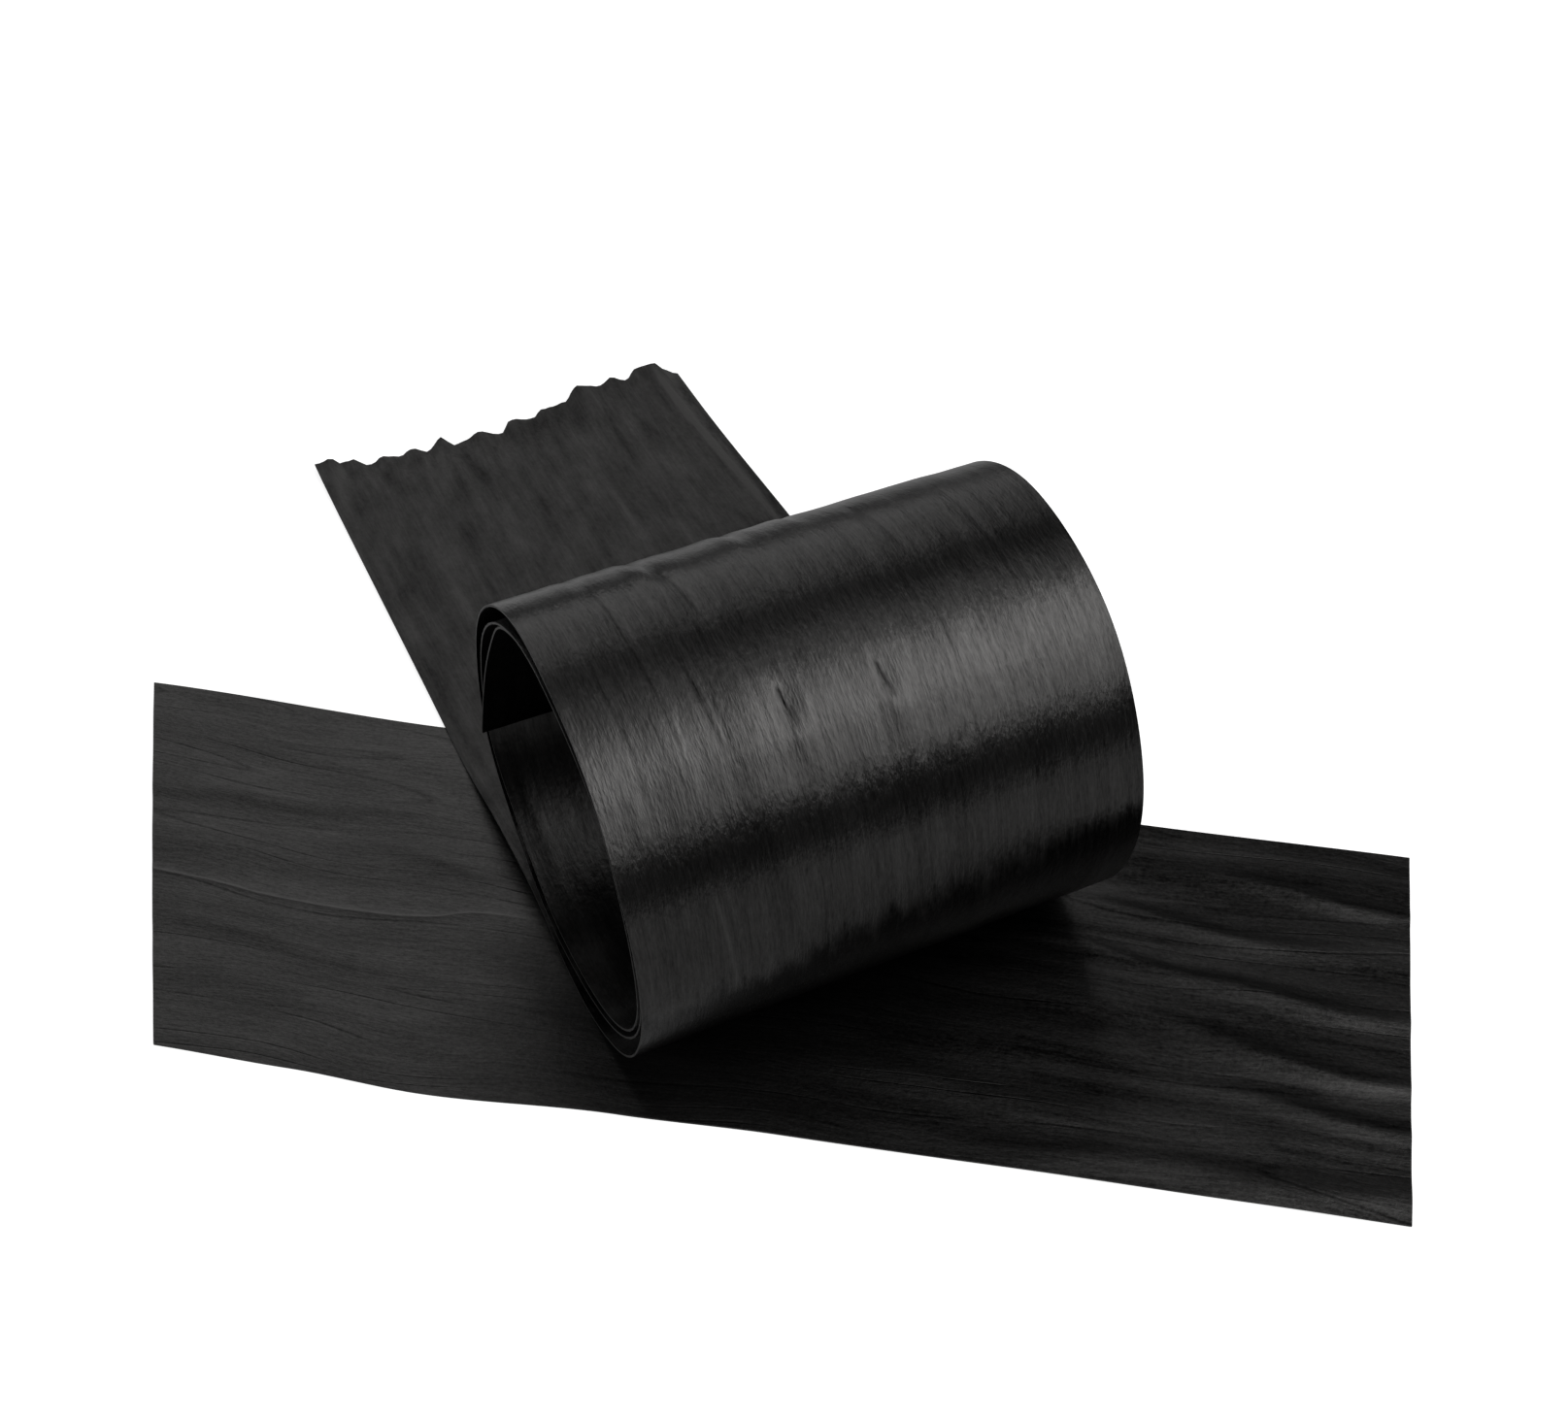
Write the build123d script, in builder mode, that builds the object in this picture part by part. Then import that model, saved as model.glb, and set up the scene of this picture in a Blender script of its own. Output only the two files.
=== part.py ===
from build123d import *
import os
from math import atan, cos, degrees, radians, sin

os.makedirs("parts", exist_ok=True)

# A coil of thin tape with no core, wound loosely, whose outer end runs back along the ground as a torn
# tail. The coil stands across a separate flat length of the same tape. Every stretch of tape is three
# bonded layers: the film that faces out of the coil, the cloth, and the adhesive that faces in.
# X runs along the coil's axis, Y runs back along the tail, Z is up. The origin is on the ground,
# under the middle of the coil. All sizes are in millimetres.

# the tape
tape_width = 50.0
layer_thickness = 0.07
layers = ["film", "cloth", "adhesive"]
tape_thickness = layer_thickness * len(layers)

# the coil: where each turn is lowest, foremost, highest and rearmost, as (y, z) on its outer face
ground_touch = (-2.5, tape_thickness)
first_front = (-20.8, 19.5)
first_top = (1.5, 42.0)
first_back = (20.2, 22.0)
second_bottom = (-1.5, 3.4)
second_front = (-20.5, 19.5)
second_top = (0.4, 41.2)
second_back = (19.4, 20.5)
third_bottom = (-1.5, 5.0)
third_front = (-20.25, 19.5)
third_top = (0.4, 40.95)

# the innermost end springs nearly straight: bends as (radius, degrees turned) after the third top
free_end_bends = [(17.8, 27.0), (6.5, 34.0), (75.0, 15.5)]

# the tail: it arches clear of the ground just behind the coil, then lies flat
arch_length = 36.5
arch_height = 2.3
bend_line_y = 40.0
tail_end_y = 90.5
scallop_count = 13
scallop_depth = 0.7

# the flat length: a point on its centre line, its direction, and its two slanting cut ends
flat_width = 46.0
flat_angle = -35.3
flat_centre = (-3.7, -5.3)
left_cut = (-57.3, -76.1)
right_cut = (60.1, 61.9)

HALF_RIGHT = radians(45)


def quarter(start, end, rising):
    """Radii of the two tangent 45 degree arcs that join two extreme points of a turn."""
    along = abs(end[0] - start[0])
    up = abs(end[1] - start[1])
    first, last = (up, along) if rising else (along, up)
    big = sin(HALF_RIGHT)
    small = 1 - big
    span = big**2 - small**2
    return (first * big - last * small) / span, (last * big - first * small) / span


# the tape's whole route from the bend line, as (radius, degrees): positive turns lift a tape that
# runs forwards, and each route starts level
arch_angle = 2 * atan(2 * arch_height / arch_length)
arch_radius = arch_length / (4 * sin(arch_angle))
arch_degrees = degrees(arch_angle)
route = [
    (arch_radius, arch_degrees),
    (arch_radius, -2 * arch_degrees),
    (arch_radius, arch_degrees),
]
extremes = [
    ground_touch, first_front, first_top, first_back,
    second_bottom, second_front, second_top, second_back,
    third_bottom, third_front, third_top,
]
for index, (start, end) in enumerate(zip(extremes, extremes[1:])):
    for radius in quarter(start, end, rising=index % 2 == 1):
        route.append((radius, 45.0))
route += free_end_bends

arch_start_y = ground_touch[0] + arch_length


def arcs_at(depth):
    """Centre, radius, start angle and sweep of each bend, at a depth below the tape's outer face."""
    y, z, heading = arch_start_y, tape_thickness, 180.0
    arcs = []
    for radius, turned in route:
        side = 1 if turned > 0 else -1
        towards = radians(heading - 90 * side)
        centre = (y + radius * cos(towards), z + radius * sin(towards))
        start_angle = heading + 90 * side
        arcs.append((centre, radius - depth * side, start_angle, -turned))
        end_angle = radians(start_angle - turned)
        y = centre[0] + radius * cos(end_angle)
        z = centre[1] + radius * sin(end_angle)
        heading -= turned
    return arcs


def arc_end(arc):
    """The point where an arc of the route ends."""
    centre, radius, start_angle, sweep = arc
    angle = radians(start_angle + sweep)
    return (centre[0] + radius * cos(angle), centre[1] + radius * sin(angle))


# the wound tape, from the tail's bend line to the innermost end, one solid for each layer
for number, layer in enumerate(layers):
    outer_depth = number * layer_thickness
    inner_depth = outer_depth + layer_thickness
    outer_arcs = arcs_at(outer_depth)
    inner_arcs = arcs_at(inner_depth)
    outer_z = tape_thickness + outer_depth
    inner_z = tape_thickness + inner_depth
    with BuildPart() as wound:
        with BuildSketch(Plane.YZ.offset(-tape_width / 2)):
            with BuildLine():
                Line((bend_line_y, outer_z), (arch_start_y, outer_z))
                for centre, radius, start_angle, sweep in outer_arcs:
                    CenterArc(centre, radius, start_angle, sweep)
                Line(arc_end(outer_arcs[-1]), arc_end(inner_arcs[-1]))
                for centre, radius, start_angle, sweep in inner_arcs:
                    CenterArc(centre, radius, start_angle, sweep)
                Line((arch_start_y, inner_z), (bend_line_y, inner_z))
                Line((bend_line_y, inner_z), (bend_line_y, outer_z))
            make_face()
        extrude(amount=tape_width)
    wound.part.label = f"roll_{layer}"
    export_step(wound.part, f"parts/roll_{layer}.step")

# the tail beyond the bend line, with the scallops of its torn end
pitch = tape_width / scallop_count
for number, layer in enumerate(layers):
    with BuildPart() as tail:
        with BuildSketch(Plane.XY.offset(tape_thickness + number * layer_thickness)):
            with BuildLine():
                Line((-tape_width / 2, tail_end_y), (-tape_width / 2, bend_line_y))
                Line((-tape_width / 2, bend_line_y), (tape_width / 2, bend_line_y))
                Line((tape_width / 2, bend_line_y), (tape_width / 2, tail_end_y))
                for scallop in range(scallop_count):
                    left = -tape_width / 2 + scallop * pitch
                    crest = (left + pitch / 2, tail_end_y + scallop_depth)
                    ThreePointArc((left, tail_end_y), crest, (left + pitch, tail_end_y))
            make_face()
        extrude(amount=layer_thickness)
    tail.part.label = f"tail_{layer}"
    export_step(tail.part, f"parts/tail_{layer}.step")

# the flat length under the coil, film side up
flat_direction = (cos(radians(flat_angle)), sin(radians(flat_angle)), 0)
for number, layer in enumerate(reversed(layers)):
    level = Plane(
        origin=(*flat_centre, number * layer_thickness),
        x_dir=flat_direction,
        z_dir=(0, 0, 1),
    )
    with BuildPart() as flat:
        with BuildSketch(level):
            with BuildLine():
                Polyline(
                    (left_cut[0], -flat_width / 2),
                    (right_cut[0], -flat_width / 2),
                    (right_cut[1], flat_width / 2),
                    (left_cut[1], flat_width / 2),
                    close=True,
                )
            make_face()
        extrude(amount=layer_thickness)
    flat.part.label = f"flat_{layer}"
    export_step(flat.part, f"parts/flat_{layer}.step")
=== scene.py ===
from math import atan, cos, degrees, pi, radians, sin

import bpy
import numpy as np
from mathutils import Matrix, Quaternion, Vector


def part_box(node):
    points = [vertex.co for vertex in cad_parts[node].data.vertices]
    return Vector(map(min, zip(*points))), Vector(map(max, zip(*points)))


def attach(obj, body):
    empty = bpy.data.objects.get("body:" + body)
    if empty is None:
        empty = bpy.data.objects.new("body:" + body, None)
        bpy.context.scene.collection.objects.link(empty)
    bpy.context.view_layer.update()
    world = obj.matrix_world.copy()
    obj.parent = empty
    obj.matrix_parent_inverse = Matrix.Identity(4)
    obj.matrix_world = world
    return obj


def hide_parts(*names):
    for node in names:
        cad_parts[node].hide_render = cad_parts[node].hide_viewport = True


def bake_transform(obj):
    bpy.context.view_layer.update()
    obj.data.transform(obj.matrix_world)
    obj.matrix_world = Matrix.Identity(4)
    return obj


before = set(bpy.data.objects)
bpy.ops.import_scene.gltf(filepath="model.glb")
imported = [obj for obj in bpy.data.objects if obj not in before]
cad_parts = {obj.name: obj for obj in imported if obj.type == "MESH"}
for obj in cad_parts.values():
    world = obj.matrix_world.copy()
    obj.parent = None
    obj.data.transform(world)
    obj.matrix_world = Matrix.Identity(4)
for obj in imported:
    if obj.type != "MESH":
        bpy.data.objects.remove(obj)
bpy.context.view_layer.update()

# The row frame, in metres: X runs along the coil's axis, Y runs back along the tail, Z is up, and the
# origin is on the ground under the middle of the coil. "along" is a distance along a tape and "across"
# a distance over its width. The wound tape's along starts at 0 at the torn end, and the flat length's
# at flat_centre. Lists of places on a tape are in millimetres.

MM = 0.001

# ---------------------------------------------------------------- driving dimensions

roll_low, roll_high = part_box("roll_film")
tape_width = roll_high[0] - roll_low[0]
tail_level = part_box("tail_film")[0][2]
tape_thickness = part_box("tail_adhesive")[1][2] - tail_level

# the coil: where each turn is lowest, foremost, highest and rearmost, as (y, z) on its outer face
extremes = [
    (-2.5 * MM, tail_level), (-20.8 * MM, 19.5 * MM), (1.5 * MM, 42.0 * MM), (20.2 * MM, 22.0 * MM),
    (-1.5 * MM, 3.4 * MM), (-20.5 * MM, 19.5 * MM), (0.4 * MM, 41.2 * MM), (19.4 * MM, 20.5 * MM),
    (-1.5 * MM, 5.0 * MM), (-20.25 * MM, 19.5 * MM), (0.4 * MM, 40.95 * MM),
]
# the innermost end springs nearly straight: its bends, as (radius, degrees)
free_end_bends = [(17.8 * MM, 27.0), (6.5 * MM, 34.0), (75.0 * MM, 15.5)]

# the tail: it arches clear of the ground behind the coil, then lies flat
arch_length = 36.5 * MM
arch_height = 2.3 * MM
tail_end_y = 90.5 * MM

# the flat length: a point on its middle line, its direction, and the two ends of each slanting cut
flat_width = 46.0 * MM
flat_angle = radians(-35.3)
flat_centre = (-3.7 * MM, -5.3 * MM)
left_cut = (-57.3 * MM, -76.1 * MM)
right_cut = (60.1 * MM, 61.9 * MM)
left_corner_out = 1.0 * MM


def smooth(value, start, end):
    """0 before start, 1 after end, and a smooth step between them."""
    share = np.clip((value - start) / (end - start), 0.0, 1.0)
    return share * share * (3 - 2 * share)


def curve_through(points, value):
    """A smooth curve through a few (place, height) points."""
    places = np.array([point[0] for point in points])
    heights = np.array([point[1] for point in points])
    index = np.clip(np.searchsorted(places, value) - 1, 0, len(places) - 2)
    start, end = places[index], places[index + 1]
    return heights[index] + (heights[index + 1] - heights[index]) * smooth(value, start, end)


# ---------------------------------------------------------------- the wound tape's route

def quarter(start, end, rising):
    """Radii of the two tangent 45 degree arcs that join two extreme points of a turn."""
    forwards = abs(end[0] - start[0])
    up = abs(end[1] - start[1])
    first, last = (up, forwards) if rising else (forwards, up)
    big = sin(radians(45))
    small = 1 - big
    span = big**2 - small**2
    return (first * big - last * small) / span, (last * big - first * small) / span


# how many bends make the arch, and how many make one whole turn of the coil
arch_bends = 3
turn_bends = 8


def route_of_bends():
    """Every bend of the tape from the arch behind the coil to its free end, as (radius, degrees)."""
    arch_angle = 2 * atan(2 * arch_height / arch_length)
    arch_radius = arch_length / (4 * sin(arch_angle))
    arch_turn = degrees(arch_angle)
    bends = [(arch_radius, arch_turn), (arch_radius, -2 * arch_turn), (arch_radius, arch_turn)]
    for index, (start, end) in enumerate(zip(extremes, extremes[1:])):
        for radius in quarter(start, end, rising=index % 2 == 1):
            bends.append((radius, 45.0))
    return bends + free_end_bends


def walk(bends):
    """Sections down the tape: along, y, z and heading in degrees, and where each bend starts."""
    tail_row = 0.7 * MM
    outer_row = 0.65 * MM
    inner_row = 1.5 * MM
    arch_start_y = extremes[0][0] + arch_length
    straight = tail_end_y - arch_start_y
    rows = int(round(straight / tail_row))
    sections = [(straight * row / rows, tail_end_y - straight * row / rows, tail_level, 180.0)
                for row in range(rows + 1)]
    along, y, z, heading = sections[-1]
    starts = []
    for index, (radius, turned) in enumerate(bends):
        starts.append(along)
        row = outer_row if index <= arch_bends + turn_bends else inner_row
        side = 1 if turned > 0 else -1
        towards = radians(heading - 90 * side)
        centre = (y + radius * cos(towards), z + radius * sin(towards))
        length = radius * radians(abs(turned))
        rows = max(4, int(round(length / row)))
        for step in range(1, rows + 1):
            share = step / rows
            angle = radians(heading + 90 * side - turned * share)
            sections.append((
                along + length * share,
                centre[0] + radius * cos(angle),
                centre[1] + radius * sin(angle),
                heading - turned * share,
            ))
        along, y, z, heading = sections[-1]
    starts.append(along)
    return np.array(sections), starts


sections, bend_starts = walk(route_of_bends())
coil_start = bend_starts[arch_bends]
second_turn = bend_starts[arch_bends + turn_bends]
wound_length = bend_starts[-1]


# ---------------------------------------------------------------- closed strips of tape

def strip_mesh(name, first, second, along, across, materials):
    """A closed strip from two grids of points: materials are for its first face, second face and rim."""
    rows, columns = along.shape
    count = rows * columns
    points = np.concatenate([first.reshape(-1, 3), second.reshape(-1, 3)])
    number = np.arange(count).reshape(rows, columns)
    corners = [number[:-1, :-1], number[:-1, 1:], number[1:, 1:], number[1:, :-1]]
    first_face = np.stack(corners, axis=-1).reshape(-1, 4)
    second_face = first_face[:, ::-1] + count
    ring = np.concatenate([number[0, :-1], number[:-1, -1], number[-1, :0:-1], number[:0:-1, 0]])
    following = np.roll(ring, -1)
    rim = np.stack([following, ring, ring + count, following + count], axis=-1)
    faces = np.concatenate([first_face, second_face, rim])
    mesh = bpy.data.meshes.new(name)
    mesh.from_pydata(points.tolist(), [], faces.tolist())
    mesh.update()
    kinds = np.repeat([0, 1, 2], [len(first_face), len(second_face), len(rim)])
    mesh.polygons.foreach_set("material_index", kinds)
    mesh.polygons.foreach_set("use_smooth", np.ones(len(faces), bool))
    places = np.stack([along.ravel(), across.ravel()], axis=-1)
    places = np.concatenate([places, places])
    layer = mesh.uv_layers.new(name="tape")
    loops = np.empty(len(mesh.loops), np.int32)
    mesh.loops.foreach_get("vertex_index", loops)
    layer.data.foreach_set("uv", places[loops].ravel())
    mesh.set_sharp_from_angle(angle=radians(50))
    for material in materials:
        mesh.materials.append(material)
    piece = bpy.data.objects.new(name, mesh)
    bpy.context.scene.collection.objects.link(piece)
    return piece


# ---------------------------------------------------------------- the shape of the wound tape

def distance_to(along, across, start, end):
    """How far each place on the tape is from a line, signed, and its share of the way down the line."""
    line = np.array(end) - np.array(start)
    length = np.hypot(*line)
    away = np.stack([along - start[0], across - start[1]], axis=-1)
    share = (away @ line) / length**2
    side = (away[..., 0] * line[1] - away[..., 1] * line[0]) / length
    return side, share


# long shallow creases of the coil: ((along, across) at each end, depth, half width)
coil_creases = [
    ((174.0, -12.2), (150.0, -9.2), 0.19, 0.65),
    ((173.0, -17.8), (146.0, -16.6), 0.12, 0.60),
    ((174.0, -2.6), (161.0, -1.0), 0.20, 0.70),
    ((174.0, 3.8), (162.0, 5.0), 0.13, 0.60),
    ((166.0, 9.0), (152.0, 10.4), 0.10, 0.60),
    ((164.0, 17.0), (150.0, 18.0), 0.10, 0.60),
    ((155.0, -20.8), (132.0, -20.4), 0.06, 0.60),
    ((150.0, -13.4), (138.0, -12.6), 0.06, 0.60),
]
# lines painted on the outermost turn's film: painted shade along its creases and in its dents, with a
# painted highlight just beside each, and one paler line: (start, end, strength), darker where negative
painted_shade_and_highlight_lines = [
    ((174.0, -12.2), (149.0, -9.1), -1.0),
    ((173.0, -17.8), (144.0, -16.5), -0.9),
    ((174.0, -2.6), (160.0, -0.9), -1.0),
    ((174.0, 3.8), (161.0, 5.1), -0.7),
    ((167.0, 9.0), (150.0, 10.5), -0.5),
    ((165.0, 17.0), (148.0, 18.1), -0.5),
    ((158.0, -20.9), (130.0, -20.3), -0.5),
    ((152.0, -13.6), (136.0, -12.5), -0.6),
    ((133.0, -17.1), (118.0, -15.7), 0.8),
    ((147.6, -6.7), (143.4, -6.3), -1.6),
    ((147.0, 2.4), (143.2, 3.0), -1.4),
]
# short dents of the coil, each with a small swelling below it: (along, across, length, depth)
coil_dents = [
    (145.6, -6.5, 3.6, 0.30),
    (145.2, 2.7, 3.2, 0.26),
]


def coil_lift(along, across):
    """How far the outermost turn stands off its route, so that its dents stay clear of the next turn."""
    place = along / MM
    side = across / MM
    mean_lift = 0.30
    lift = mean_lift + 0.035 * np.sin(side * 0.40 + 1.5 * np.sin(place * 0.045))
    lift += 0.016 * np.sin(side * 0.93 - place * 0.06 + 1.3)
    lift += 0.010 * np.sin(side * 1.7 + 0.8 * np.sin(place * 0.12)) * np.sin(place * 0.17 - side * 0.1)
    for start, end, depth, half in coil_creases:
        across_line, down_line = distance_to(place, side, start, end)
        fade = smooth(down_line, -0.05, 0.12) * (1 - smooth(down_line, 0.45, 1.05))
        valley = np.exp(-(across_line / half) ** 2)
        ridge = np.exp(-((across_line + 2.0 * half) / (1.5 * half)) ** 2)
        lift += depth * fade * (0.55 * ridge - valley)
    dent_half = 0.7
    for at, over, length, depth in coil_dents:
        down = (at - place) / length
        dent = np.exp(-((side - over) / dent_half) ** 2) * np.exp(-(down / 0.5) ** 2)
        flare = np.exp(-((side - over - 0.5) / 1.2) ** 2) * np.exp(-((down - 0.9) / 0.5) ** 2)
        lift += depth * (0.55 * flare - dent)
    free = smooth(along, coil_start + 8 * MM, coil_start + 26 * MM)
    free *= 1 - smooth(along, second_turn - 40 * MM, second_turn - 12 * MM)
    return np.maximum(lift, 0) * free * MM


# the torn end's scallops, measured out from the straight end line: (across, out)
torn_bends = [
    (-25.0, -0.4), (-22.8, -0.1), (-22.0, -1.3), (-20.4, -1.3), (-18.5, -3.1), (-16.7, -2.4), (-14.4, -3.0),
    (-12.8, -2.4), (-11.0, -3.4), (-8.7, -2.0), (-7.6, -3.7), (-5.8, -3.3), (-3.8, -2.5), (-1.1, -3.6),
    (0.7, -2.1), (3.5, -2.7), (5.4, -1.6), (8.6, -1.2), (11.1, 0.8), (14.0, 0.0), (16.2, 1.2), (17.8, 0.2),
    (19.9, 1.6), (22.4, 1.4), (23.4, 0.0), (25.0, -0.8),
]
# the slow curve that the scallops stand on: (across, out)
torn_trend = [(-25.0, -0.9), (-12.0, -3.0), (2.0, -2.8), (25.0, 0.6)]


def torn_edge(side):
    """How far the torn end stands out from the tail's straight end line, in millimetres."""
    return curve_through(torn_bends, side) + 0.06 * np.sin(side * 5.1 + 1.0) * np.sin(side * 1.3)


def tail_ripple(along, across):
    """Ripples that run in from the scallops, and a fold near the tail's right-hand edge."""
    side = across / MM
    place = along / MM
    crest = np.clip(torn_edge(side) - curve_through(torn_trend, side) + 0.9, 0, None)
    ripple = 0.30 * crest * np.exp(-place / 5.0)
    ripple += 0.10 * (1 + np.sin(side * 0.62 + 0.8 * np.sin(place * 0.10))) * np.exp(-place / 26.0)
    ripple += 0.05 * (1 + np.sin(side * 1.4 + 1.1 * np.sin(place * 0.07 + 1.0)))
    fold_height = 0.40
    beside_fold = smooth(side, 18.0, 22.6) * (1 - smooth(side, 22.8, 25.0))
    ripple += fold_height * beside_fold * (1 - smooth(place, 22.0, 40.0))
    rest = 1 - smooth(place, 44.0, 54.0)
    return ripple * rest * MM


def build_wound(materials):
    """The whole wound tape in one piece: torn tail, arch, coil and free inner end."""
    column_width = 0.6 * MM
    torn_reach = 9 * MM
    free_length = 34 * MM
    free_shift = 0.65
    tail_swell = 0.7
    columns = int(round(tape_width / column_width))
    over = np.linspace(-tape_width / 2, tape_width / 2, columns + 1)
    along, across = np.meshgrid(sections[:, 0], over, indexing="ij")
    route_y = sections[:, 1][:, None] + 0 * across
    route_z = sections[:, 2][:, None] + 0 * across
    facing = np.radians(sections[:, 3] - 90)
    inward = np.stack([0 * facing, np.cos(facing), np.sin(facing)], axis=-1)[:, None, :]

    near_torn_end = 1 - smooth(along, 0.0, torn_reach)
    route_y = route_y + torn_edge(across / MM) * MM * near_torn_end
    wander = 0.10 * np.sin(along / MM * 0.083) + 0.05 * np.sin(along / MM * 0.31 + 1.0)
    wander *= smooth(along, 50 * MM, 80 * MM)
    swell = tail_swell * smooth(across, 0, tape_width / 2) * smooth(along, 8 * MM, 45 * MM)
    swell *= 1 - smooth(along, 70 * MM, coil_start)
    near_inner_end = smooth(along, wound_length - free_length, wound_length)
    sideways = across + (wander + swell - free_shift * near_inner_end) * MM

    outer = np.stack([sideways, route_y, route_z], axis=-1)
    outer = outer - inward * coil_lift(along, across)[..., None]
    outer[..., 2] += tail_ripple(along, across)
    inner = outer + inward * tape_thickness
    return strip_mesh("wound_tape", outer, inner, along, across, materials)


# ---------------------------------------------------------------- the shape of the flat length

# how far its long edges stand out from straight ones: (along, out)
far_edge_bends = [(-77.0, 1.4), (-43.0, 0.2), (0.0, -0.3), (36.0, -0.9), (62.0, -0.6)]
near_edge_bends = [
    (-58.0, 0.2), (-44.0, 0.5), (-31.0, 1.1), (-12.0, 0.1), (3.0, -0.3), (38.0, -0.6), (61.0, -0.7),
]

# ridges where it doesn't lie quite flat: (along, across, length, width, height, degrees)
flat_ridges = [
    (51.0, 15.5, 12.0, 1.1, 0.42, -5.0),
    (38.0, 9.4, 15.0, 1.1, 0.42, -6.0),
    (33.0, 4.0, 10.0, 0.9, 0.32, -8.0),
    (49.0, 1.2, 13.0, 1.1, 0.40, -4.0),
    (41.0, -4.0, 10.0, 1.2, 0.28, -7.0),
    (50.0, -6.8, 13.0, 1.1, 0.36, -3.0),
    (51.0, -12.0, 11.0, 1.1, 0.34, -5.0),
    (44.0, -20.6, 24.0, 1.8, 0.38, 0.5),
    (20.0, -15.0, 12.0, 1.6, 0.12, -4.0),
    (-58.0, 9.0, 16.0, 1.2, 0.16, 3.0),
    (-50.0, -9.0, 15.0, 1.1, 0.14, -4.0),
    (-56.0, 16.0, 14.0, 1.4, 0.12, 2.0),
    (-42.0, -16.0, 14.0, 1.5, 0.14, 6.0),
    (-36.0, 4.0, 12.0, 0.8, 0.12, -5.0),
]

# a fine raised line that wanders down the left of the flat length: (along, across)
raised_line = [
    (-68.0, -2.2), (-60.0, -2.7), (-52.0, -3.6), (-42.0, -3.8), (-36.0, -3.1), (-31.0, -1.7), (-24.0, -1.5),
]


def flat_lift(along, across, x, y):
    """How far the flat length stands off the ground, which is nowhere under the coil and the tail."""
    place = along / MM
    side = across / MM
    lift = np.zeros_like(place)
    for at, over, length, width, height, tilt in flat_ridges:
        turn = radians(tilt)
        down = (place - at) * cos(turn) + (side - over) * sin(turn)
        off = (side - over) * cos(turn) - (place - at) * sin(turn) + 0.5 * np.sin(down * 0.25)
        lift += height * np.exp(-(down / length) ** 2) * np.exp(-(off / width) ** 2)
    lift += 0.05 * (1 + np.sin(side * 0.8 + 1.2 * np.sin(place * 0.07) + 0.02 * place))
    line_height = 0.09
    line_half = 0.45
    from_line = side - curve_through(raised_line, place)
    lift += line_height * np.exp(-(from_line / line_half) ** 2) * (1 - smooth(place, -30.0, -24.0))
    beneath_width = smooth(x, -30 * MM, -25 * MM) * (1 - smooth(x, 25 * MM, 29 * MM))
    covered = beneath_width * smooth(y, -17 * MM, -10 * MM)
    return lift * (1 - covered) * MM


def build_flat(materials):
    """The flat length, with its slanting cut ends and its slightly wavy long edges."""
    rows = 170
    columns = 120
    share, over = np.meshgrid(np.linspace(0, 1, rows + 1), np.linspace(-1, 1, columns + 1), indexing="ij")
    side = (over + 1) / 2
    left = left_cut[0] + (left_cut[1] - left_corner_out - left_cut[0]) * side
    right = right_cut[0] + (right_cut[1] - right_cut[0]) * side
    along = left + (right - left) * share
    across = over * flat_width / 2
    out = curve_through(far_edge_bends, along / MM) * side**2
    out -= curve_through(near_edge_bends, along / MM) * (1 - side) ** 2
    across_here = across + out * MM
    x = flat_centre[0] + along * cos(flat_angle) - across_here * sin(flat_angle)
    y = flat_centre[1] + along * sin(flat_angle) + across_here * cos(flat_angle)
    lift = flat_lift(along, across, x, y)
    upper = np.stack([x, y, tape_thickness + lift], axis=-1)
    lower = np.stack([x, y, lift], axis=-1)
    return strip_mesh("flat_tape", lower, upper, along, across, materials)


# ---------------------------------------------------------------- materials

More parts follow.
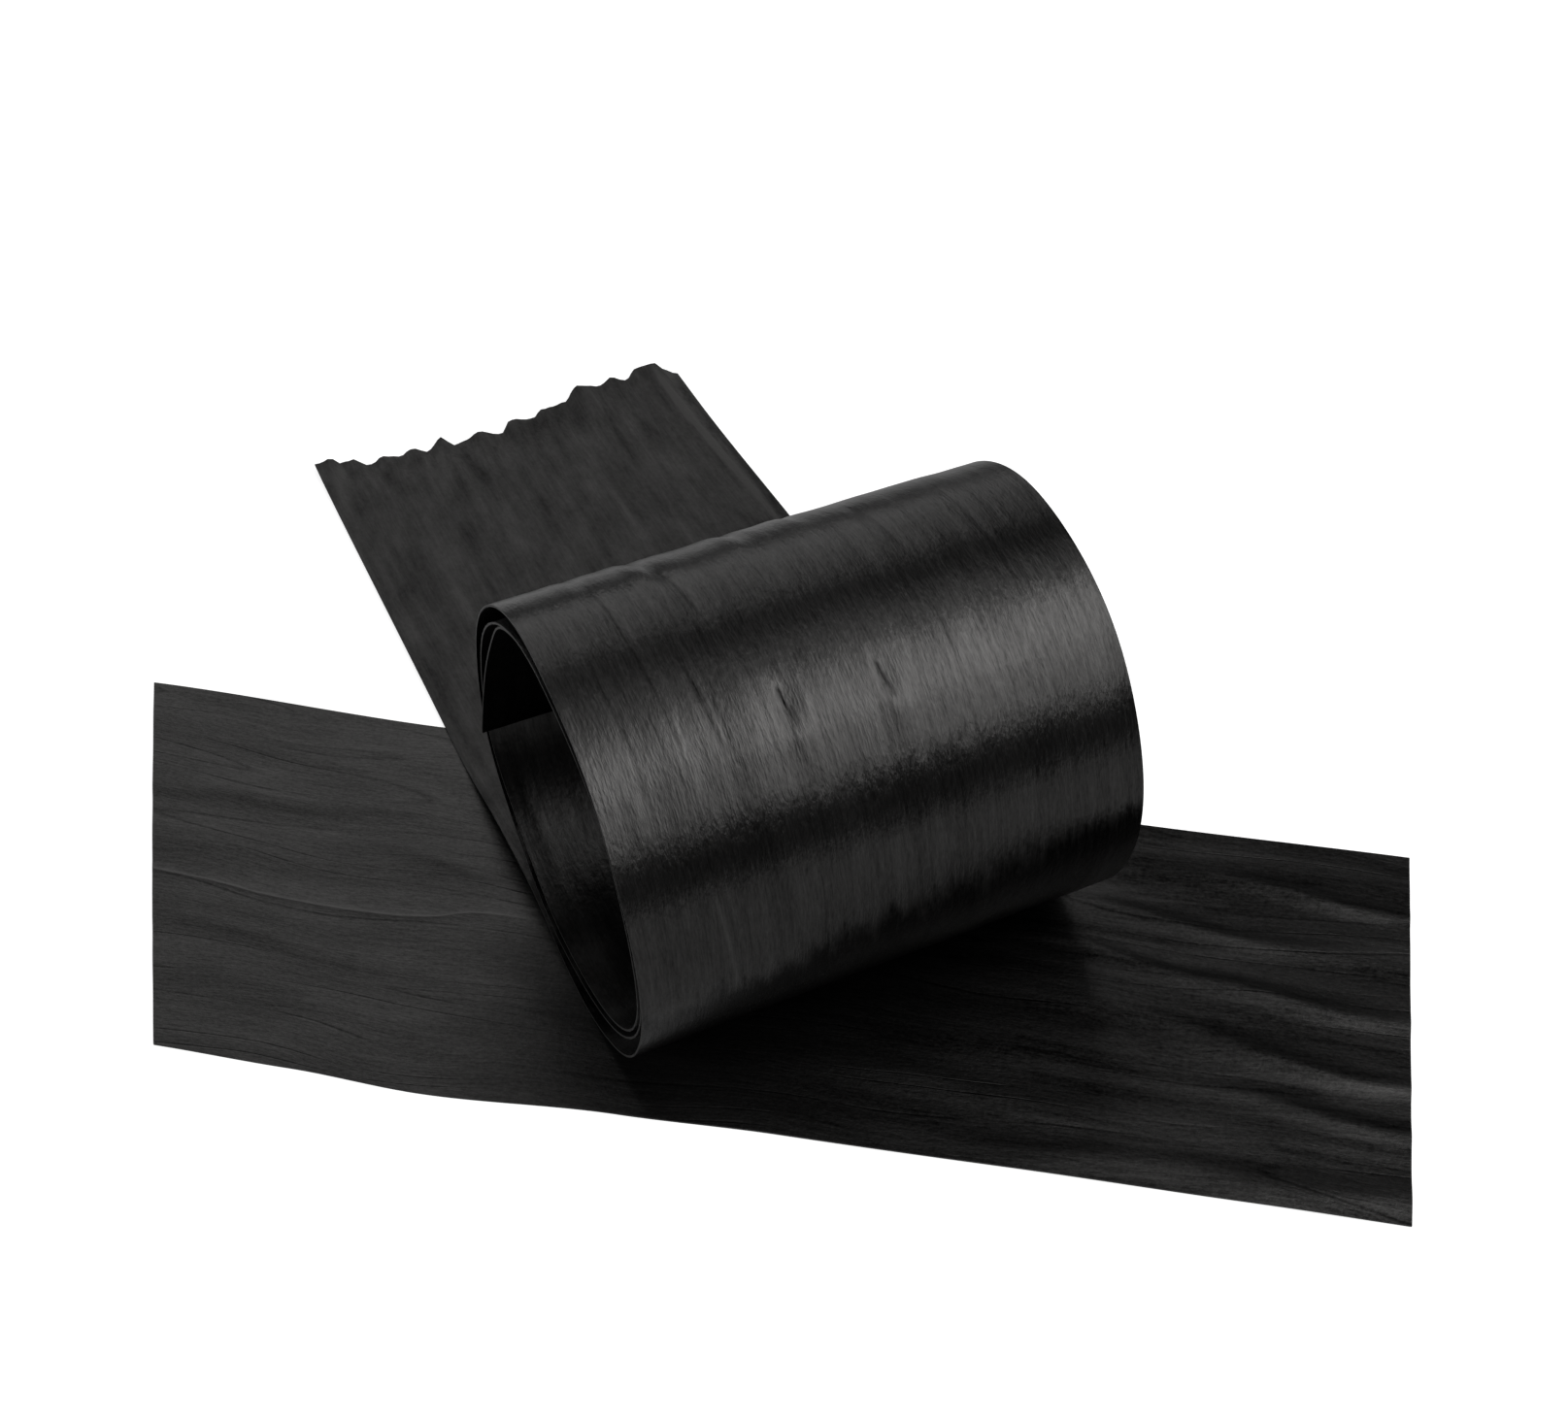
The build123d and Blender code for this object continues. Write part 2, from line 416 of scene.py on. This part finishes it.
class Finish:
    """A black tape finish, built from nodes on the tape's own along and across."""

    def __init__(self, name):
        self.material = bpy.data.materials.new(name)
        self.material.use_nodes = True
        self.tree = self.material.node_tree
        self.shader = self.tree.nodes["Principled BSDF"]
        self.place = self.tree.nodes.new("ShaderNodeUVMap")
        self.place.uv_map = "tape"
        split = self.tree.nodes.new("ShaderNodeSeparateXYZ")
        self.link(self.place.outputs["UV"], split.inputs["Vector"])
        self.along = split.outputs["X"]
        self.across = split.outputs["Y"]

    def link(self, output, target):
        self.tree.links.new(output, target)

    def noise(self, along, across, detail=2.0, rough=0.5, warp=None):
        """Noise from 0 to 1 whose features are along by across, in millimetres."""
        mapping = self.tree.nodes.new("ShaderNodeMapping")
        mapping.inputs["Scale"].default_value = (1 / (along * MM), 1 / (across * MM), 1)
        self.link(warp or self.place.outputs["UV"], mapping.inputs["Vector"])
        noise = self.tree.nodes.new("ShaderNodeTexNoise")
        noise.noise_dimensions = "2D"
        noise.inputs["Scale"].default_value = 1.0
        noise.inputs["Detail"].default_value = detail
        noise.inputs["Roughness"].default_value = rough
        self.link(mapping.outputs["Vector"], noise.inputs["Vector"])
        return noise.outputs["Fac"]

    def math(self, operation, first, second=None, third=None):
        node = self.tree.nodes.new("ShaderNodeMath")
        node.operation = operation
        for socket, value in zip(node.inputs, (first, second, third)):
            if value is None:
                continue
            if isinstance(value, (int, float)):
                socket.default_value = value
            else:
                self.link(value, socket)
        return node.outputs["Value"]

    def weighted(self, *terms):
        """The sum of value times weight over pairs of (value, weight)."""
        total = self.math("MULTIPLY", terms[0][0], terms[0][1])
        for value, weight in terms[1:]:
            total = self.math("MULTIPLY_ADD", value, weight, total)
        return total

    def remap(self, value, low, high, new_low, new_high):
        node = self.tree.nodes.new("ShaderNodeMapRange")
        node.inputs["From Min"].default_value = low
        node.inputs["From Max"].default_value = high
        node.inputs["To Min"].default_value = new_low
        node.inputs["To Max"].default_value = new_high
        self.link(value, node.inputs["Value"])
        return node.outputs["Result"]

    def warped(self, along, across, shift):
        """The tape's place pushed sideways by a slow noise, so that a grain flows."""
        noise = self.noise(along, across, detail=1.0)
        push = self.math("MULTIPLY_ADD", noise, shift * MM, -0.5 * shift * MM)
        both = self.tree.nodes.new("ShaderNodeCombineXYZ")
        self.link(push, both.inputs["Y"])
        add = self.tree.nodes.new("ShaderNodeVectorMath")
        add.operation = "ADD"
        self.link(self.place.outputs["UV"], add.inputs[0])
        self.link(both.outputs["Vector"], add.inputs[1])
        return add.outputs["Vector"]

    def colour(self, value, dark, light):
        ramp = self.tree.nodes.new("ShaderNodeMix")
        ramp.data_type = "RGBA"
        ramp.inputs["A"].default_value = (*dark, 1)
        ramp.inputs["B"].default_value = (*light, 1)
        self.link(value, ramp.inputs["Factor"])
        self.link(ramp.outputs["Result"], self.shader.inputs["Base Color"])

    def bump(self, height, depth):
        """Fine relief from a height of 0 to 1, with its depth in millimetres."""
        node = self.tree.nodes.new("ShaderNodeBump")
        node.inputs["Distance"].default_value = depth * MM
        self.link(height, node.inputs["Height"])
        self.link(node.outputs["Normal"], self.shader.inputs["Normal"])

    def roughness(self, value):
        self.link(value, self.shader.inputs["Roughness"])

    def satin(self, stretch):
        """A black film has a shine and no colour of its own, and its fibres spread the shine sideways."""
        tangent = self.tree.nodes.new("ShaderNodeTangent")
        tangent.direction_type = "UV_MAP"
        tangent.uv_map = "tape"
        self.link(tangent.outputs["Tangent"], self.shader.inputs["Tangent"])
        self.shader.inputs["Metallic"].default_value = 1.0
        self.shader.inputs["Anisotropic"].default_value = stretch
        self.shader.inputs["Anisotropic Rotation"].default_value = 0.25

    def bell(self, off):
        """1 where off is 0, and a smooth fall to 0 on both sides."""
        return self.math("EXPONENT", self.math("MULTIPLY", self.math("MULTIPLY", off, off), -1.0))

    def faded(self, value, share, shown_from, hidden_from):
        """A value that fades in from share 0 to shown_from, and out from hidden_from to share 1."""
        rising = self.remap(share, 0.0, shown_from, 0.0, 1.0)
        falling = self.remap(share, hidden_from, 1.0, 1.0, 0.0)
        return self.math("MULTIPLY", value, self.math("MULTIPLY", rising, falling))

    def line(self, start, end, half):
        """1 along the middle of a thin straight line between two places, and 0 beside and beyond it."""
        length = np.hypot(end[0] - start[0], end[1] - start[1]) * MM
        down = np.array([end[0] - start[0], end[1] - start[1]]) * MM / length
        away = self.tree.nodes.new("ShaderNodeVectorMath")
        away.operation = "SUBTRACT"
        away.inputs[1].default_value = (start[0] * MM, start[1] * MM, 0)
        self.link(self.place.outputs["UV"], away.inputs[0])
        measured = []
        sideways = np.array([down[1], -down[0]])
        for direction in (down / length, sideways / (half * MM)):
            dot = self.tree.nodes.new("ShaderNodeVectorMath")
            dot.operation = "DOT_PRODUCT"
            dot.inputs[1].default_value = (*direction, 0)
            self.link(away.outputs["Vector"], dot.inputs[0])
            measured.append(dot.outputs["Value"])
        share, off = measured
        return self.faded(self.bell(off), share, 0.15, 0.5)

    def wandering_line(self, points, half):
        """1 along the middle of a thin line through a few places, and 0 beside and beyond it."""
        low = min(point[0] for point in points)
        high = max(point[0] for point in points)
        deepest = min(point[1] for point in points) - 1.0
        highest = max(point[1] for point in points) + 1.0
        curve = self.tree.nodes.new("ShaderNodeFloatCurve")
        knots = curve.mapping.curves[0].points
        for index, (along, across) in enumerate(points):
            place = ((along - low) / (high - low), (across - deepest) / (highest - deepest))
            if index in (0, len(points) - 1):
                knots[0 if index == 0 else len(knots) - 1].location = place
            else:
                knots.new(*place)
        curve.mapping.update()
        share = self.remap(self.along, low * MM, high * MM, 0.0, 1.0)
        self.link(share, curve.inputs["Value"])
        middle = self.remap(curve.outputs["Value"], 0.0, 1.0, deepest * MM, highest * MM)
        off = self.math("DIVIDE", self.math("SUBTRACT", self.across, middle), half * MM)
        return self.faded(self.bell(off), share, 0.05, 0.85)

    def share_along(self, start, end):
        """0 as far as start and 1 from end on, in millimetres along the tape; either may come first."""
        return self.remap(self.along, start * MM, end * MM, 0.0, 1.0)


def grey(value):
    """A very slightly warm grey."""
    return (value * 1.02, value, value * 0.985)


def satin_film():
    """The outside of the coil: satin black with dense fine streaks that run round the coil."""
    film = Finish("satin_film")
    film.satin(0.80)
    fibres = film.noise(2.0, 0.17, detail=3.0, rough=0.65)
    streaks = film.noise(9.0, 0.55, detail=3.0, rough=0.6)
    bands = film.noise(40.0, 2.6, detail=2.0)
    grain = film.noise(0.80, 0.24, detail=2.0, rough=0.6)
    clouds = film.noise(12.0, 7.0, detail=2.0)
    shade = film.weighted((fibres, 0.30), (streaks, 0.25), (bands, 0.15), (grain, 0.20), (clouds, 0.10))
    # painted shade along each crease and dent line, and a painted highlight just beside it
    for start, end, strength in painted_shade_and_highlight_lines:
        shade = film.math("MULTIPLY_ADD", film.line(start, end, 0.22), 0.16 * strength, shade)
        beside = [(place[0], place[1] + 0.55) for place in (start, end)]
        shade = film.math("MULTIPLY_ADD", film.line(*beside, 0.35), -0.06 * strength, shade)
    # the coil's underside, as far as a ragged slanting border, is painted darker than its light leaves it
    ragged = film.noise(5.0, 1.5, detail=3.0, rough=0.6)
    height = film.weighted((film.along, 1.0), (film.across, -0.11), (ragged, 8 * MM))
    below_border = film.remap(height, 125.0 * MM, 128.5 * MM, 1.0, 0.0)
    underneath = film.math("MULTIPLY", film.share_along(88.0, 98.0), below_border)
    shade = film.math("MULTIPLY_ADD", underneath, -0.32, shade)
    film.colour(film.remap(shade, 0.20, 0.70, 0.0, 1.0), grey(0.002), grey(0.070))
    film.roughness(film.remap(film.weighted((clouds, 0.5), (grain, 0.5)), 0.3, 0.7, 0.31, 0.37))
    film.bump(film.weighted((fibres, 0.4), (streaks, 0.8), (grain, 0.8), (bands, 1.0), (ragged, 2.2)), 0.038)
    return film.material


def inner_film():
    """The face that looks into the coil. It is also the tail's upper face, which is duller and mottled."""
    film = Finish("inner_film")
    film.satin(1.0)
    fibres = film.noise(2.2, 0.20, detail=3.0, rough=0.65)
    streaks = film.noise(14.0, 1.0, detail=2.0)
    grain = film.noise(0.7, 0.45, detail=2.0, rough=0.6)
    clouds = film.noise(8.0, 4.5, detail=4.0, rough=0.6)
    torn = film.noise(9.0, 1.9, detail=2.0)
    coiled = film.share_along(72.0, 92.0)
    shade = film.weighted((fibres, 0.20), (streaks, 0.25), (clouds, 0.40), (grain, 0.15))
    near_torn_end = film.math("MULTIPLY", film.share_along(16.0, 0.0), film.math("SUBTRACT", torn, 0.5))
    shade = film.math("MULTIPLY_ADD", near_torn_end, 0.5, shade)
    # a painted highlight along the tail's fold, and painted shade just past it
    fold = film.line((-1.0, 21.9), (40.0, 23.5), 0.45)
    beyond_fold = film.line((-3.0, 24.2), (60.0, 24.6), 0.8)
    # the coil's inside, and most of all the tape between its turns, is painted darker than its light
    # leaves it
    between_turns = film.math("MULTIPLY", film.share_along(84.0, 96.0), film.share_along(300.0, 290.0))
    shade = film.weighted(
        (shade, 1.0), (fold, 0.50), (beyond_fold, -0.12), (coiled, -0.13), (between_turns, -0.20),
    )
    film.colour(film.remap(shade, 0.14, 0.66, 0.0, 1.0), grey(0.002), grey(0.125))
    film.roughness(film.remap(coiled, 0.0, 1.0, 0.58, 0.46))
    film.bump(film.weighted((fibres, 0.3), (streaks, 0.5), (clouds, 1.6), (torn, 0.8), (grain, 0.5)), 0.060)
    return film.material


def grained_film():
    """The upper face of the flat length: a dark grain that flows along the tape like wood."""
    film = Finish("grained_film")
    film.satin(0.20)
    flow = film.warped(34.0, 16.0, 5.0)
    fibres = film.noise(1.8, 0.24, detail=3.0, rough=0.7, warp=flow)
    speckle = film.noise(0.50, 0.32, detail=2.0, rough=0.7)
    lines = film.noise(20.0, 0.8, detail=3.0, rough=0.6, warp=flow)
    clouds = film.noise(18.0, 6.0, detail=3.0)
    rings = film.noise(150.0, 10.0, detail=1.0, warp=flow)
    ring = film.math("ABSOLUTE", film.math("SINE", film.math("MULTIPLY", rings, 30.0)))
    ring_line = film.remap(ring, 0.0, 0.22, 1.0, 0.0)
    vein = film.math("MULTIPLY", ring_line, film.remap(clouds, 0.38, 0.58, 0.0, 1.0))
    pale = film.wandering_line(raised_line, 0.20)
    # the length to the right of the coil is painted darker than its light leaves it, in long waves
    waves = film.noise(26.0, 2.6, detail=2.0, warp=flow)
    beyond_coil = film.share_along(-22.0, 12.0)
    wavy = film.math("MULTIPLY", beyond_coil, film.remap(waves, 0.32, 0.70, -0.22, -0.07))
    shade = film.weighted(
        (fibres, 0.30), (speckle, 0.25), (lines, 0.20), (clouds, 0.25),
        (vein, -0.12), (pale, 0.30), (wavy, 1.0),
    )
    film.colour(film.remap(shade, 0.18, 0.70, 0.0, 1.0), grey(0.006), grey(0.076))
    film.roughness(film.remap(beyond_coil, 0.0, 1.0, 0.42, 0.38))
    film.bump(film.weighted((fibres, 0.4), (speckle, 0.4), (lines, 0.4), (vein, -0.5), (pale, 1.0)), 0.050)
    return film.material


def dull_backing():
    """The underside of the flat length."""
    backing = Finish("dull_backing")
    backing.satin(0.5)
    fibres = backing.noise(2.6, 0.3, detail=3.0, rough=0.6)
    clouds = backing.noise(7.0, 5.0, detail=3.0)
    shade = backing.weighted((fibres, 0.4), (clouds, 0.6))
    backing.colour(backing.remap(shade, 0.3, 0.7, 0.0, 1.0), grey(0.022), grey(0.055))
    backing.roughness(backing.remap(clouds, 0.3, 0.7, 0.5, 0.65))
    backing.bump(shade, 0.04)
    return backing.material


def cut_edge():
    """The cut edges, a little paler than the faces."""
    edge = Finish("cut_edge")
    fibres = edge.noise(0.5, 0.2, detail=2.0)
    edge.colour(edge.remap(fibres, 0.3, 0.7, 0.0, 1.0), grey(0.010), grey(0.028))
    edge.roughness(edge.remap(fibres, 0.3, 0.7, 0.45, 0.6))
    return edge.material


# ---------------------------------------------------------------- the pieces

outside = satin_film()
inside = inner_film()
edge = cut_edge()
wound = build_wound([outside, inside, edge])
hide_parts("roll_film", "roll_cloth", "roll_adhesive", "tail_film", "tail_cloth", "tail_adhesive")
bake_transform(wound)

flat = build_flat([dull_backing(), grained_film(), edge])
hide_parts("flat_film", "flat_cloth", "flat_adhesive")
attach(flat, "flat_length")


# ---------------------------------------------------------------- floor, lights and camera

# the glow of the floor and of the backdrop that only the camera sees
floor_glow = 0.78


def white_floor():
    """A plain pale floor that looks white to the camera and lights the tape as a grey one."""
    floor_grey = 0.56
    material = bpy.data.materials.new("white_floor")
    material.use_nodes = True
    tree = material.node_tree
    tree.nodes.clear()
    output = tree.nodes.new("ShaderNodeOutputMaterial")
    paint = tree.nodes.new("ShaderNodeBsdfDiffuse")
    paint.inputs["Color"].default_value = (floor_grey, floor_grey, floor_grey, 1)
    glow = tree.nodes.new("ShaderNodeEmission")
    glow.inputs["Strength"].default_value = floor_glow
    both = tree.nodes.new("ShaderNodeAddShader")
    seen = tree.nodes.new("ShaderNodeLightPath")
    choose = tree.nodes.new("ShaderNodeMixShader")
    for start, end in (
        (paint.outputs[0], both.inputs[0]),
        (glow.outputs[0], both.inputs[1]),
        (seen.outputs["Is Camera Ray"], choose.inputs[0]),
        (paint.outputs[0], choose.inputs[1]),
        (both.outputs[0], choose.inputs[2]),
        (choose.outputs[0], output.inputs["Surface"]),
    ):
        tree.links.new(start, end)
    return material


def build_floor():
    half = 3.0
    below = -0.02 * MM
    mesh = bpy.data.meshes.new("floor")
    mesh.from_pydata(
        [(-half, -half, below), (half, -half, below), (half, half, below), (-half, half, below)],
        [], [(0, 1, 2, 3)],
    )
    mesh.materials.append(white_floor())
    floor = bpy.data.objects.new("floor", mesh)
    bpy.context.scene.collection.objects.link(floor)


def softbox(name, azimuth, elevation, distance, width, height, radiance):
    """A rectangular light that faces the coil: its azimuth runs from +X, and both angles are in degrees."""
    aim = Vector((0, 0, 20 * MM))
    around = radians(azimuth)
    up = radians(elevation)
    towards = Vector((cos(around) * cos(up), sin(around) * cos(up), sin(up)))
    data = bpy.data.lights.new(name, "AREA")
    data.shape = "RECTANGLE"
    data.size = width
    data.size_y = height
    data.energy = radiance * pi * width * height
    light = bpy.data.objects.new(name, data)
    light.location = aim + towards * distance
    light.rotation_euler = towards.to_track_quat("Z", "Y").to_euler()
    light.visible_camera = False
    bpy.context.scene.collection.objects.link(light)


def build_lights():
    softbox("key_low", -54, 35, 0.60, 0.46, 0.24, 2.9)
    softbox("key_high", -37, 54, 0.60, 0.42, 0.17, 6.5)
    softbox("key_top", -30, 71, 0.60, 0.44, 0.18, 1.2)
    softbox("top", 50, 80, 0.60, 0.45, 0.24, 0.50)
    softbox("back", 78, 36, 0.80, 0.60, 0.66, 1.02)
    softbox("left", 176, 20, 0.55, 0.20, 0.20, 8.5)


def build_backdrop():
    """A backdrop that looks pale to the camera and adds only a little light of its own."""
    backdrop_light = 0.06
    world = bpy.data.worlds.new("studio")
    world.use_nodes = True
    tree = world.node_tree
    tree.nodes.clear()
    output = tree.nodes.new("ShaderNodeOutputWorld")
    choose = tree.nodes.new("ShaderNodeMixShader")
    seen = tree.nodes.new("ShaderNodeLightPath")
    tree.links.new(seen.outputs["Is Camera Ray"], choose.inputs[0])
    for socket, strength in ((choose.inputs[1], backdrop_light), (choose.inputs[2], floor_glow)):
        background = tree.nodes.new("ShaderNodeBackground")
        background.inputs["Color"].default_value = (1, 1, 1, 1)
        background.inputs["Strength"].default_value = strength
        tree.links.new(background.outputs[0], socket)
    tree.links.new(choose.outputs[0], output.inputs["Surface"])
    bpy.context.scene.world = world


def build_camera():
    """A camera at the photograph's viewing angle, with its turns in degrees."""
    looking_down = 44.05
    turned = -25.53
    rolled = 0.33
    camera_place = (-59.71 * MM, -121.52 * MM, 157.05 * MM)
    data = bpy.data.cameras.new("camera")
    data.sensor_fit = "HORIZONTAL"
    data.sensor_width = 36.0
    data.lens = 46.3
    data.clip_start = 0.01
    camera = bpy.data.objects.new("camera", data)
    camera.rotation_mode = "QUATERNION"
    upright = Vector((0, 0, 1))
    sideways = Vector((1, 0, 0))
    camera.rotation_quaternion = (
        Quaternion(upright, radians(turned))
        @ Quaternion(sideways, radians(90 - looking_down))
        @ Quaternion(upright, radians(rolled))
    )
    camera.location = camera_place
    bpy.context.scene.collection.objects.link(camera)
    bpy.context.scene.camera = camera


build_floor()
build_lights()
build_backdrop()
build_camera()
bpy.context.scene.view_settings.view_transform = "Standard"
